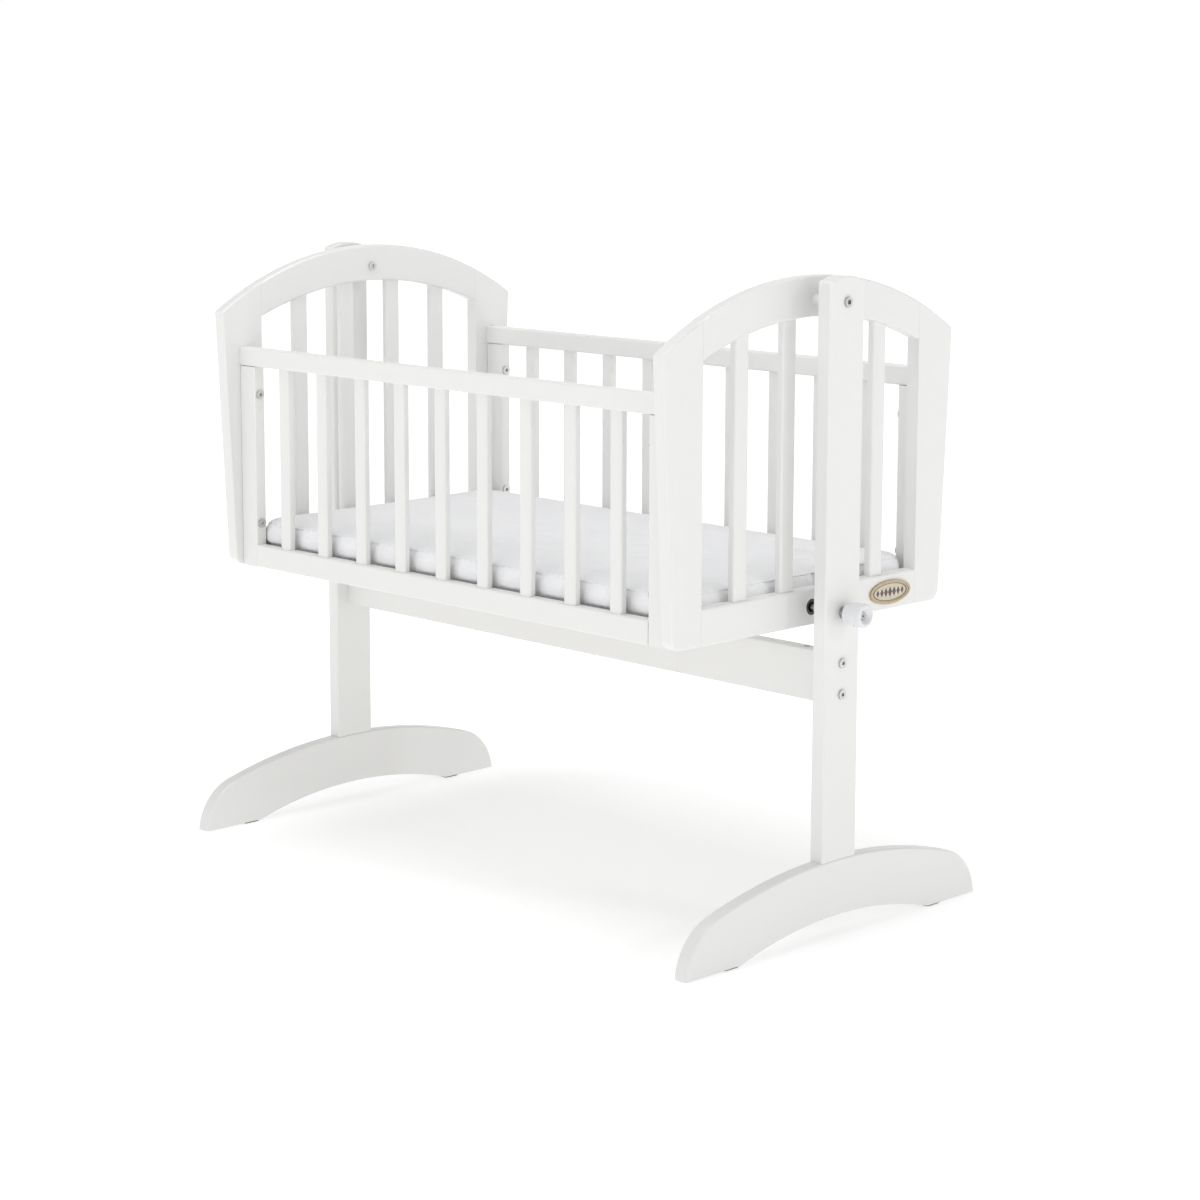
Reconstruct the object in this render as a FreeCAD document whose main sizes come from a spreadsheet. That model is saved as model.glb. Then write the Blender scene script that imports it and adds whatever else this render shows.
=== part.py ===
import FreeCAD, Part
import math
import os
import re
import Sketcher

# Swinging baby crib: a cradle of four slatted frames hangs between two posts on
# arched feet. X runs along the crib towards the lock knob, Y from front to rear,
# Z up from the floor. Lengths are in millimetres.

V = FreeCAD.Vector

DIMENSIONS = {
    # stand
    "post_outer": 510.0,
    "post_thick": 22.0,
    "post_width": 68.0,
    "post_top": 880.0,
    "post_top_edge": 873.0,
    "post_corner": 5.0,
    "foot_half": 293.5,
    "foot_top": 106.0,
    "foot_shoulder_y": 236.0,
    "foot_shoulder_z": 72.0,
    "foot_shoulder_radius": 81.0,
    "foot_pad_inner": 191.0,
    "foot_arch_top": 30.0,
    "glide_thick": 2.0,
    "glide_long": 26.0,
    "glide_wide": 18.0,
    "stretcher_mid": 350.5,
    "stretcher_tall": 70.0,
    "stretcher_thick": 22.0,
    "pivot_height": 846.0,
    "lock_height": 439.5,
    # cradle ends
    "end_outer": 456.5,
    "end_thick": 20.0,
    "end_joint": 214.0,
    "end_half_top": 286.0,
    "end_half_bottom": 267.0,
    "end_top": 878.0,
    "end_top_radius": 520.0,
    "end_arch_under": 824.0,
    "end_under_radius": 550.0,
    "end_rail_tall": 49.0,
    "end_slat_wide": 26.0,
    "end_corner_low": 17.0,
    "end_corner_high": 6.0,
    "cradle_bottom": 415.0,
    # cradle sides
    "side_outer": 255.5,
    "side_thick": 18.0,
    "side_stile_wide": 34.0,
    "side_top": 739.5,
    "side_top_rail_tall": 27.5,
    "side_low_rail_tall": 33.0,
    "side_slat_wide": 22.0,
    "side_slat_pitch": 85.0,
    "side_bolt_high": 671.0,
    "side_bolt_low": 480.0,
    # shared woodwork
    "slat_thick": 11.0,
    "tenon": 10.0,
    "edge_round": 3.0,
    "dowel_radius": 4.0,
    "dowel_length": 36.0,
    "side_dowel_length": 30.0,
    "side_dowel_half_pitch": 8.0,
    "side_stile_round": 2.0,
    "batten_round": 1.5,
    "fit_gap": 0.1,
    "joint_gap": 0.2,
    # base and mattress
    "base_top": 436.0,
    "base_thick": 9.0,
    "batten_wide": 18.0,
    "vent_radius": 11.0,
    "mattress_long": 870.0,
    "mattress_wide": 472.0,
    "mattress_thick": 48.0,
    "mattress_corner": 40.0,
    "mattress_edge": 17.0,
    # hardware
    "bolt_radius": 3.0,
    "bolt_head_radius": 6.8,
    "bolt_head_tall": 2.5,
    "socket_corner": 2.9,
    "pivot_radius": 4.0,
    "pivot_barrel_radius": 5.0,
    "pivot_bush_radius": 8.0,
    "pivot_spacer_radius": 8.5,
    "running_gap": 0.06,
    "end_play": 0.3,
    "barrel_nut_radius": 5.0,
    "barrel_nut_long": 14.0,
    "barrel_nut_inset": 39.0,
    "stretcher_bolt_half_pitch": 21.0,
    "insert_radius": 5.0,
    "insert_long": 14.0,
    "foot_screw_radius": 3.5,
    "foot_screw_head_radius": 5.0,
    "foot_screw_head_tall": 5.0,
    "foot_screw_seat": 50.0,
    "foot_screw_bite": 45.0,
    "foot_screw_half_pitch": 18.0,
    "batten_screw_radius": 2.0,
    "batten_screw_head_tall": 2.0,
    "batten_screw_long": 13.0,
    "knob_screw_radius": 2.5,
    "knob_screw_head_radius": 4.5,
    "knob_screw_head_tall": 3.5,
    "knob_screw_bite": 12.0,
    # lock
    "lock_pin_radius": 5.0,
    "lock_sleeve_radius": 7.0,
    "lock_flange_radius": 8.5,
    "lock_flange_thick": 1.5,
    "lock_tip_gap": 1.0,
    "knob_back": 520.0,
    "knob_front": 550.0,
    "knob_radius": 16.0,
    "knob_neck_radius": 14.5,
    "knob_dish_radius": 5.5,
    "knob_dish_deep": 9.5,
    "rail_bush_radius": 11.0,
    "rail_bush_bore": 7.0,
    "rail_bush_long": 15.0,
    # badge
    "badge_half_long": 42.0,
    "badge_half_tall": 16.5,
    "badge_thick": 2.5,
    "badge_rim_wide": 3.5,
    "badge_offset": 160.0,
    # the origin is under the middle of the whole envelope, knob and bolt heads included
    "frame_shift": -18.6,
}

SIDE_SLATS = 9
END_SLATS = 4
ENDS = {"left": -1, "right": 1}
SIDES = {"front": -1, "rear": 1}

doc = FreeCAD.newDocument("BabyCrib")
sizes = doc.addObject("Spreadsheet::Sheet", "Sizes")
nodes = []


def fill_sheet():
    """Write every driving dimension into its own aliased cell."""
    for row, (alias, value) in enumerate(DIMENSIONS.items(), start=1):
        sizes.set(f"A{row}", alias)
        sizes.set(f"B{row}", str(value))
        sizes.setAlias(f"B{row}", alias)
    doc.recompute()


def bind(target, prop, expression):
    """Bind a property to an expression in which sheet aliases are written bare."""
    with_sheet = re.sub(
        r"[A-Za-z_]\w*",
        lambda m: f"Sizes.{m.group()}" if m.group() in DIMENSIONS else m.group(),
        str(expression),
    )
    target.setExpression(prop, with_sheet)


def value(expression):
    return float(sizes.evalExpression(str(expression)))


def place(target, at=("0", "0", "0"), turn=None):
    """Bind a placement's base to three expressions, after an optional fixed turn."""
    if turn:
        target.Placement = FreeCAD.Placement(V(0, 0, 0), turn)
    for axis, expression in zip("xyz", at):
        bind(target, f"Placement.Base.{axis}", expression)
    target.addProperty("App::PropertyString", "DesignX")
    target.DesignX = str(at[0])
    return target


def finish(target, name):
    """Label a finished piece and move it from the design axis to the frame's origin."""
    design_x = target.DesignX if "DesignX" in target.PropertiesList else "0"
    bind(target, "Placement.Base.x", f"({design_x}) + frame_shift")
    target.Label = name
    nodes.append(target)
    return target


# ---- solids from primitives -------------------------------------------------

TURN_TO = {
    "+Z": FreeCAD.Rotation(),
    "-Z": FreeCAD.Rotation(V(1, 0, 0), 180),
    "+X": FreeCAD.Rotation(V(0, 1, 0), 90),
    "-X": FreeCAD.Rotation(V(0, 1, 0), -90),
    "+Y": FreeCAD.Rotation(V(1, 0, 0), -90),
    "-Y": FreeCAD.Rotation(V(1, 0, 0), 90),
}


def cylinder(name, radius, length, at=("0", "0", "0"), towards="+Z"):
    rod = doc.addObject("Part::Cylinder", name)
    bind(rod, "Radius", radius)
    bind(rod, "Height", length)
    return place(rod, at, TURN_TO[towards])


def hexagon(name, corner, length, at=("0", "0", "0"), towards="+Z"):
    prism = doc.addObject("Part::Prism", name)
    prism.Polygon = 6
    bind(prism, "Circumradius", corner)
    bind(prism, "Height", length)
    return place(prism, at, TURN_TO[towards])


def block(name, size, low):
    """A plain box from its size and its lowest corner."""
    box = doc.addObject("Part::Box", name)
    for prop, expression in zip(("Length", "Width", "Height"), size):
        bind(box, prop, expression)
    return place(box, low)


def joined(name, pieces):
    if len(pieces) == 1:
        return pieces[0]
    fuse = doc.addObject("Part::MultiFuse", name)
    fuse.Shapes = pieces
    return fuse


def cut(name, base, tools):
    result = doc.addObject("Part::Cut", name)
    result.Base = base
    result.Tool = joined(name + "_tools", tools)
    return result


def copies(name, source, places):
    """Separate copies of one solid, each moved from the solid's own place by (x, y, z)."""
    links = []
    for number, spot in enumerate(places, start=1):
        link = doc.addObject("App::Link", f"{name}_{number}")
        link.LinkedObject = source
        link.LinkTransform = True
        for axis, expression in zip("xyz", spot):
            bind(link, f"Placement.Base.{axis}", expression)
        links.append(link)
    return links


def group(name, links):
    compound = doc.addObject("Part::Compound", name)
    compound.Links = links
    return finish(compound, name)


# ---- solids from sketches ---------------------------------------------------

def plane_of(body, role):
    return next(o for o in body.Origin.OriginFeatures if o.Role == role)


def arc_centre(start, end, radius):
    """Centre of an arc that turns left for a positive radius, right for a negative one."""
    chord = end - start
    half = chord.Length / 2
    to_left = V(-chord.y, chord.x, 0).normalize()
    reach = math.sqrt(radius * radius - half * half)
    return (start + end) / 2 + to_left * math.copysign(reach, radius)


def draw_outline(sketch, corners):
    """Closed outline of (u, v, bend): bend is None or the radius of the arc to the next corner."""
    points = [V(value(u), value(v), 0) for u, v, _ in corners]
    ends = []
    for index, (_, _, bend) in enumerate(corners):
        start, end = points[index], points[(index + 1) % len(points)]
        if bend is None:
            line = sketch.addGeometry(Part.LineSegment(start, end), False)
            ends.append((line, 1, 2))
            continue
        radius = value(bend)
        centre = arc_centre(start, end, radius)
        first, last = (start, end) if radius > 0 else (end, start)
        from_angle = math.atan2(first.y - centre.y, first.x - centre.x)
        to_angle = math.atan2(last.y - centre.y, last.x - centre.x)
        circle = Part.Circle(centre, V(0, 0, 1), abs(radius))
        arc = sketch.addGeometry(Part.ArcOfCircle(circle, from_angle, to_angle), False)
        ends.append((arc, 1, 2) if radius > 0 else (arc, 2, 1))
    for index, (piece, first, _) in enumerate(ends):
        before, _, last = ends[index - 1]
        sketch.addConstraint(Sketcher.Constraint("Coincident", before, last, piece, first))
        for kind, offset, expression in (
            ("DistanceX", points[index].x, corners[index][0]),
            ("DistanceY", points[index].y, corners[index][1]),
        ):
            number = sketch.addConstraint(
                Sketcher.Constraint(kind, -1, 1, piece, first, offset)
            )
            bind(sketch, f"Constraints[{number}]", expression)
        bend = corners[index][2]
        if bend is not None:
            number = sketch.addConstraint(
                Sketcher.Constraint("Radius", piece, abs(value(bend)))
            )
            bind(sketch, f"Constraints[{number}]", f"abs({bend})")


def plate(name, role, corners, thick):
    """A flat piece: its outline on an origin plane, padded evenly to both sides."""
    body = doc.addObject("PartDesign::Body", name)
    sketch = body.newObject("Sketcher::SketchObject", name + "_outline")
    sketch.AttachmentSupport = [(plane_of(body, role), "")]
    sketch.MapMode = "FlatFace"
    draw_outline(sketch, corners)
    pad = body.newObject("PartDesign::Pad", name + "_pad")
    pad.Profile = sketch
    pad.SideType = "Symmetric"
    bind(pad, "Length", thick)
    doc.recompute()
    return body


def round_edges(body, chosen, radius):
    """Fillet the edges of the body's tip for which chosen(edge) holds."""
    tip = body.Tip
    names = [
        f"Edge{number}"
        for number, edge in enumerate(tip.Shape.Edges, start=1)
        if chosen(edge)
    ]
    if not names:
        raise RuntimeError(f"no edges to round on {body.Name}")
    fillet = body.newObject("PartDesign::Fillet", f"{body.Name}_round")
    fillet.Base = (tip, names)
    bind(fillet, "Radius", radius)
    doc.recompute()
    return body


def is_along(axis):
    """Edges that are straight and parallel to an axis."""
    def test(edge):
        box = edge.BoundBox
        spans = {"X": box.XLength, "Y": box.YLength, "Z": box.ZLength}
        length = spans.pop(axis)
        return length > 0.1 and max(spans.values()) < 0.01
    return test


ROLE_ALONG = {"X": "YZ_Plane", "Y": "XZ_Plane", "Z": "XY_Plane"}


def bar(name, along, section, length, rounding="edge_round"):
    """A straight member centred on its origin, its long edges rounded over."""
    half_u, half_v = f"({section[0]}) / 2", f"({section[1]}) / 2"
    corners = [
        (f"-{half_u}", f"-{half_v}", None),
        (half_u, f"-{half_v}", None),
        (half_u, half_v, None),
        (f"-{half_u}", half_v, None),
    ]
    body = plate(name, ROLE_ALONG[along], corners, length)
    if rounding:
        round_edges(body, is_along(along), rounding)
    return body


def on_faces(thick, keep=lambda centre: True):
    """Edges that lie in either broad face of an X-thick plate, filtered by their centre."""
    def test(edge):
        box = edge.BoundBox
        flat = box.XLength < 0.01 and abs(abs(box.Center.x) - value(thick) / 2) < 0.01
        return flat and keep(edge.CenterOfMass)
    return test


# ---- shapes that several pieces share ---------------------------------------

FOOT_RISE = "(foot_top - foot_shoulder_z)"
FOOT_RADIUS = f"((foot_shoulder_y^2 + {FOOT_RISE}^2) / (2 * {FOOT_RISE}))"
FOOT_ARCH_RISE = "(foot_arch_top - glide_thick)"
FOOT_ARCH_RADIUS = f"((foot_pad_inner^2 + {FOOT_ARCH_RISE}^2) / (2 * {FOOT_ARCH_RISE}))"
POST_HALF = "post_width / 2"
POST_CROWN = "(post_top - post_top_edge)"
POST_CROWN_RADIUS = f"((({POST_HALF})^2 + {POST_CROWN}^2) / (2 * {POST_CROWN}))"
POST_MID = "(post_outer - post_thick / 2)"
POST_INNER = "(post_outer - post_thick)"
END_MID = "(end_outer - end_thick / 2)"
END_INNER = "(end_outer - end_thick)"
SIDE_MID = "(side_outer - side_thick / 2)"
SIDE_INNER = "(side_outer - side_thick)"
SIDE_STILE_MID = f"({END_INNER} - side_stile_wide / 2)"
SIDE_STILE_INNER = f"({END_INNER} - side_stile_wide)"


def foot_surface(y):
    """Height of the foot's upper curve at y."""
    return f"(foot_top - {FOOT_RADIUS} + sqrt({FOOT_RADIUS}^2 - ({y})^2))"


def end_crown(y):
    """Height of an end frame's upper curve at y."""
    return f"(end_top - end_top_radius + sqrt(end_top_radius^2 - ({y})^2))"


def end_under(y):
    """Height of the arched rail's lower curve at y."""
    return f"(end_arch_under - end_under_radius + sqrt(end_under_radius^2 - ({y})^2))"


# ---- the stand --------------------------------------------------------------

def socket_bolt(name, shank_length, towards):
    """Flat-headed socket bolt: the head's underside at its origin, shank along towards."""
    away = {"+": "-", "-": "+"}[towards[0]] + towards[1]
    head = cylinder(name + "_head", "bolt_head_radius", "bolt_head_tall", towards=away)
    shank = cylinder(name + "_shank", "bolt_radius", shank_length, towards=towards)
    sign = "" if away[0] == "+" else "-"
    mouth = ["0", "0", "0"]
    mouth["XYZ".index(away[1])] = f"{sign}bolt_head_tall"
    socket = hexagon(name + "_socket", "socket_corner", "bolt_head_tall + 1", mouth, towards)
    body = joined(name + "_blank", [head, shank])
    return cut(name, body, [socket])


def make_foot(end, sign):
    name = f"foot_{end}"
    shoulder = "foot_shoulder_radius"
    corners = [
        ("-foot_half", "glide_thick", None),
        ("-foot_pad_inner", "glide_thick", f"-{FOOT_ARCH_RADIUS}"),
        ("foot_pad_inner", "glide_thick", None),
        ("foot_half", "glide_thick", shoulder),
        ("foot_shoulder_y", "foot_shoulder_z", FOOT_RADIUS),
        ("-foot_shoulder_y", "foot_shoulder_z", shoulder),
    ]
    body = plate(name + "_blank", "YZ_Plane", corners, "post_thick")
    low = value("foot_arch_top") + 1
    round_edges(body, on_faces("post_thick", lambda c: c.z > low), "edge_round")
    place(body, (f"{sign} * {POST_MID}", "0", "0"))
    drills = []
    for number, row in enumerate((-1, 1)):
        at = (f"{sign} * {POST_MID}", f"{row} * foot_screw_half_pitch", "0")
        drills.append(cylinder(f"{name}_drill_{number}", "foot_screw_radius + fit_gap", "foot_top + 10", at))
        drills.append(
            cylinder(f"{name}_sink_{number}", "foot_screw_head_radius + 0.5", "foot_screw_seat", at)
        )
    finish(cut(name, body, drills), name)


def make_post(end, sign):
    name = f"post_{end}"
    low_edge = f"{foot_surface(POST_HALF)} + fit_gap"
    corners = [
        (f"-{POST_HALF}", low_edge, f"-{FOOT_RADIUS}"),
        (POST_HALF, low_edge, None),
        (POST_HALF, "post_top_edge", POST_CROWN_RADIUS),
        (f"-{POST_HALF}", "post_top_edge", None),
    ]
    body = plate(name + "_blank", "YZ_Plane", corners, "post_thick")
    across = is_along("X")
    round_edges(body, lambda e: across(e) and e.BoundBox.Center.z > value("pivot_height"), "post_corner")
    above = value("foot_top") + 1
    round_edges(body, on_faces("post_thick", lambda c: c.z > above), "edge_round")
    place(body, (f"{sign} * {POST_MID}", "0", "0"))
    start = f"{sign} * {POST_INNER} - {sign}"
    through = "post_thick + 2"
    towards = "+X" if sign > 0 else "-X"
    drills = [
        cylinder(
            name + "_pivot_hole", "pivot_bush_radius + fit_gap", through,
            (start, "0", "pivot_height"), towards,
        )
    ]
    for row in (-1, 1):
        at = (start, "0", f"stretcher_mid + {row} * stretcher_bolt_half_pitch")
        drills.append(cylinder(f"{name}_bolt_hole", "bolt_radius + fit_gap", through, at, towards))
        at = (f"{sign} * {POST_MID}", f"{row} * foot_screw_half_pitch", "foot_top - 10")
        drills.append(
            cylinder(f"{name}_screw_hole", "foot_screw_radius + fit_gap", "foot_screw_bite + 12", at)
        )
    if sign > 0:
        at = (start, "0", "lock_height")
        drills.append(
            cylinder(name + "_lock_hole", "lock_sleeve_radius + fit_gap", through, at, towards)
        )
    finish(cut(name, body, drills), name)


def make_stretcher():
    body = bar("stretcher_blank", "X", ("stretcher_thick", "stretcher_tall"), f"2 * {POST_INNER}")
    place(body, ("0", "0", "stretcher_mid"))
    drills = []
    for sign in (-1, 1):
        for row in (-1, 1):
            tag = f"stretcher_{'left' if sign < 0 else 'right'}_{'low' if row < 0 else 'high'}"
            height = f"stretcher_mid + {row} * stretcher_bolt_half_pitch"
            start = f"{sign} * ({POST_INNER} + 1)"
            inwards = "-X" if sign > 0 else "+X"
            drills.append(
                cylinder(
                    tag + "_bolt_hole", "bolt_radius + fit_gap", "barrel_nut_inset + 14",
                    (start, "0", height), inwards,
                )
            )
            mouth = f"stretcher_mid + {row} * (stretcher_tall / 2 + 1)"
            depth = "stretcher_tall / 2 + 1 - stretcher_bolt_half_pitch + barrel_nut_long / 2 + fit_gap"
            at = (f"{sign} * ({POST_INNER} - barrel_nut_inset)", "0", mouth)
            drills.append(
                cylinder(
                    tag + "_nut_hole", "barrel_nut_radius + fit_gap", depth,
                    at, "-Z" if row > 0 else "+Z",
                )
            )
    finish(cut("stretcher", body, drills), "stretcher")


def stretcher_bolt_places():
    for sign in (-1, 1):
        for row in (-1, 1):
            yield sign, f"stretcher_mid + {row} * stretcher_bolt_half_pitch"


def make_stretcher_hardware():
    length = "post_thick + barrel_nut_inset + 8"
    bolts = {sign: socket_bolt(f"stretcher_bolt_{sign + 1}", length, towards)
             for sign, towards in ((1, "-X"), (-1, "+X"))}
    links = []
    for sign, height in stretcher_bolt_places():
        at = (f"{sign} * post_outer", "0", height)
        links += copies(f"stretcher_bolt_copy_{len(links)}", bolts[sign], [at])
    group("stretcher_bolts", links)

    blank = cylinder("barrel_nut_blank", "barrel_nut_radius", "barrel_nut_long",
                     ("0", "0", "-barrel_nut_long / 2"))
    bore = cylinder("barrel_nut_bore", "bolt_radius + fit_gap", "4 * barrel_nut_radius",
                    ("-2 * barrel_nut_radius", "0", "0"), "+X")
    nut = cut("barrel_nut", blank, [bore])
    spots = [(f"{sign} * ({POST_INNER} - barrel_nut_inset)", "0", height)
             for sign, height in stretcher_bolt_places()]
    group("stretcher_barrel_nuts", copies("barrel_nut_copy", nut, spots))


def make_foot_hardware():
    """Long screws up through each foot into its post, and a glide under each pad."""
    head = cylinder("foot_screw_head", "foot_screw_head_radius", "foot_screw_head_tall",
                    ("0", "0", "foot_screw_seat - foot_screw_head_tall"))
    shank = cylinder("foot_screw_shank", "foot_screw_radius", "foot_top - foot_screw_seat + foot_screw_bite",
                     ("0", "0", "foot_screw_seat"))
    socket = hexagon("foot_screw_socket", "socket_corner", "foot_screw_head_tall",
                     ("0", "0", "foot_screw_seat - foot_screw_head_tall - 1"))
    screw = cut("foot_screw", joined("foot_screw_blank", [head, shank]), [socket])
    spots = [(f"{sign} * {POST_MID}", f"{row} * foot_screw_half_pitch", "0")
             for sign in (-1, 1) for row in (-1, 1)]
    group("foot_screws", copies("foot_screw_copy", screw, spots))

    glide = bar("foot_glide", "Z", ("glide_wide", "glide_long"), "glide_thick", "edge_round")
    spots = [(f"{sign} * {POST_MID}", f"{row} * (foot_pad_inner + glide_long / 2 + 2)", "glide_thick / 2")
             for sign in (-1, 1) for row in (-1, 1)]
    group("foot_glides", copies("foot_glide_copy", glide, spots))


# ---- the cradle's ends ------------------------------------------------------

def end_slat_rows():
    """Places of an end's slats: (y, height of the top end)."""
    gap = f"((2 * end_joint - {END_SLATS} * end_slat_wide) / {END_SLATS + 1})"
    for number in range(END_SLATS):
        steps = number - (END_SLATS - 1) / 2
        y = f"({steps} * ({gap} + end_slat_wide))"
        yield y, f"({end_under(y)} + tenon)"


END_RAIL_TOP = "(cradle_bottom + end_rail_tall)"
END_DOWELS = ("798", "812")
RAIL_DOWELS = ("cradle_bottom + 12", "cradle_bottom + end_rail_tall - 12")


def end_dowel_holes(name, sign, row, heights):
    """Drills for the dowels that cross one joint between a stile and a cross member."""
    return [
        cylinder(
            f"{name}_dowel_hole_{number}", "dowel_radius + fit_gap", "dowel_length + 1",
            (f"{sign} * {END_MID}", f"{row} * end_joint - dowel_length / 2 - 0.5", z), "+Y",
        )
        for number, z in enumerate(heights)
    ]


def make_end_stile(end, sign, side, row):
    name = f"end_stile_{end}_{side}"
    corners = [
        ("end_joint", "cradle_bottom", None),
        ("end_half_bottom", "cradle_bottom", None),
        ("end_half_top", end_crown("end_half_top"), "end_top_radius"),
        ("end_joint", end_crown("end_joint"), None),
    ]
    body = plate(name + "_blank", "YZ_Plane", corners, "end_thick")
    beyond = value("end_joint") + 10
    middle = value("cradle_bottom") + 100
    across = is_along("X")
    round_edges(
        body, lambda e: across(e) and e.BoundBox.Center.y > beyond and e.BoundBox.Center.z < middle,
        "end_corner_low",
    )
    round_edges(
        body, lambda e: across(e) and e.BoundBox.Center.y > beyond and e.BoundBox.Center.z > middle,
        "end_corner_high",
    )
    inner = value("end_joint") + 0.5
    round_edges(body, on_faces("end_thick", lambda c: c.y > inner), "edge_round")
    turn = FreeCAD.Rotation(V(0, 0, 1), 0 if row > 0 else 180)
    place(body, (f"{sign} * {END_MID}", "0", "0"), turn)
    drills = end_dowel_holes(name, sign, row, END_DOWELS + RAIL_DOWELS)
    for z in ("side_bolt_high", "side_bolt_low"):
        drills.append(
            cylinder(
                f"{name}_insert_hole", "insert_radius + fit_gap", "insert_long + 2",
                (f"{sign} * ({END_INNER} - 1)", f"{row} * {SIDE_MID}", z),
                "+X" if sign > 0 else "-X",
            )
        )
    finish(cut(name, body, drills), name)


def make_end_arch(end, sign):
    name = f"end_arch_{end}"
    half = "(end_joint - joint_gap)"
    corners = [
        (f"-{half}", end_under(half), "-end_under_radius"),
        (half, end_under(half), None),
        (half, end_crown(half), "end_top_radius"),
        (f"-{half}", end_crown(half), None),
    ]
    body = plate(name + "_blank", "YZ_Plane", corners, "end_thick")
    round_edges(body, on_faces("end_thick", lambda c: abs(c.y) < 1), "edge_round")
    place(body, (f"{sign} * {END_MID}", "0", "0"))
    towards = "+X" if sign > 0 else "-X"
    tools = [
        cylinder(
            name + "_pivot_hole", "pivot_barrel_radius + fit_gap", "end_thick + 2",
            (f"{sign} * ({END_INNER} - 1)", "0", "pivot_height"), towards,
        )
    ]
    for row in (-1, 1):
        tools += end_dowel_holes(name, sign, row, END_DOWELS)
    for number, (y, top) in enumerate(end_slat_rows()):
        tools.append(end_mortise(f"{name}_mortise_{number}", sign, y, "end_arch_under - 60", top))
    finish(cut(name, body, tools), name)


def end_mortise(name, sign, y, low, high):
    wide, thick = "(end_slat_wide + 2 * fit_gap)", "(slat_thick + 2 * fit_gap)"
    corner = (f"{sign} * {END_MID} - {thick} / 2", f"{y} - {wide} / 2", low)
    return block(name, (thick, wide, f"{high} + fit_gap - ({low})"), corner)


def make_end_rail(end, sign):
    name = f"end_rail_{end}"
    body = bar(name + "_blank", "Y", ("end_thick", "end_rail_tall"), "2 * (end_joint - joint_gap)")
    place(body, (f"{sign} * {END_MID}", "0", "cradle_bottom + end_rail_tall / 2"))
    tools = []
    for row in (-1, 1):
        tools += end_dowel_holes(name, sign, row, RAIL_DOWELS)
    for number, (y, _) in enumerate(end_slat_rows()):
        low = f"{END_RAIL_TOP} - tenon - fit_gap"
        tools.append(end_mortise(f"{name}_mortise_{number}", sign, y, low, f"{END_RAIL_TOP} + 1"))
    if sign > 0:
        tools.append(
            cylinder(
                name + "_lock_hole", "rail_bush_radius + fit_gap", "rail_bush_long + 1",
                ("end_outer - rail_bush_long", "0", "lock_height"), "+X",
            )
        )
    finish(cut(name, body, tools), name)


def make_end_slats(end, sign):
    """Tenoned slats; the outer pair is shorter, under the lower part of the arch."""
    links = []
    low = f"({END_RAIL_TOP} - tenon)"
    for number, (y, top) in enumerate(end_slat_rows()):
        slat = bar(f"end_slat_{end}_{number}", "Z", ("slat_thick", "end_slat_wide"), f"{top} - {low}")
        middle = f"({top} + {low}) / 2"
        links += copies(f"end_slat_{end}_copy_{number}", slat, [(f"{sign} * {END_MID}", y, middle)])
    group(f"end_slats_{end}", links)


def make_end_dowels():
    dowel = cylinder("end_dowel", "dowel_radius", "dowel_length", ("0", "-dowel_length / 2", "0"), "+Y")
    spots = [
        (f"{sign} * {END_MID}", f"{row} * end_joint", z)
        for sign in (-1, 1) for row in (-1, 1) for z in END_DOWELS + RAIL_DOWELS
    ]
    group("end_dowels", copies("end_dowel_copy", dowel, spots))


# ---- the cradle's sides -----------------------------------------------------

SIDE_RAIL_UNDER = "(side_top - side_top_rail_tall)"
SIDE_LOW_RAIL_TOP = "(cradle_bottom + side_low_rail_tall)"
SIDE_LOW_RAIL_MID = "(cradle_bottom + side_low_rail_tall / 2)"


def side_slat_rows():
    for number in range(SIDE_SLATS):
        yield f"({number - (SIDE_SLATS - 1) // 2} * side_slat_pitch)"


def side_mortise(name, x, row, low, high):
    wide, thick = "(side_slat_wide + 2 * fit_gap)", "(slat_thick + 2 * fit_gap)"
    corner = (f"{x} - {wide} / 2", f"{row} * {SIDE_MID} - {thick} / 2", low)
    return block(name, (wide, thick, f"{high} - ({low})"), corner)


def side_cap_dowel_hole(name, sign, row):
    """Drill for the upright dowel between a side's top rail and one stile."""
    return cylinder(
        f"{name}_cap_dowel_hole_{sign + 1}", "dowel_radius + fit_gap", "side_dowel_length + 1",
        (f"{sign} * {SIDE_STILE_MID}", f"{row} * {SIDE_MID}",
         f"{SIDE_RAIL_UNDER} - side_dowel_length / 2 - 0.5"),
    )


def side_foot_dowel_holes(name, sign, row):
    """Drills for the two level dowels between a side's bottom rail and one stile."""
    return [
        cylinder(
            f"{name}_foot_dowel_hole_{sign + 1}_{number}", "dowel_radius + fit_gap",
            "side_dowel_length + 1",
            (f"{sign} * {SIDE_STILE_INNER} - side_dowel_length / 2 - 0.5",
             f"{row} * {SIDE_MID}", f"{SIDE_LOW_RAIL_MID} + {step} * side_dowel_half_pitch"), "+X",
        )
        for number, step in enumerate((-1, 1))
    ]


def make_side_stile(side, row, end, sign):
    name = f"side_stile_{side}_{end}"
    body = bar(name + "_blank", "Z", ("side_stile_wide", "side_thick"),
               f"{SIDE_RAIL_UNDER} - joint_gap - cradle_bottom", "side_stile_round")
    place(body, (f"{sign} * {SIDE_STILE_MID}", f"{row} * {SIDE_MID}",
                 f"({SIDE_RAIL_UNDER} - joint_gap + cradle_bottom) / 2"))
    tools = [side_cap_dowel_hole(name, sign, row)] + side_foot_dowel_holes(name, sign, row)
    for z in ("side_bolt_high", "side_bolt_low"):
        tools.append(
            cylinder(
                f"{name}_bolt_hole", "bolt_radius + fit_gap", "side_stile_wide + 2",
                (f"{sign} * {SIDE_STILE_MID} - side_stile_wide / 2 - 1", f"{row} * {SIDE_MID}", z), "+X",
            )
        )
    finish(cut(name, body, tools), name)


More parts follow.
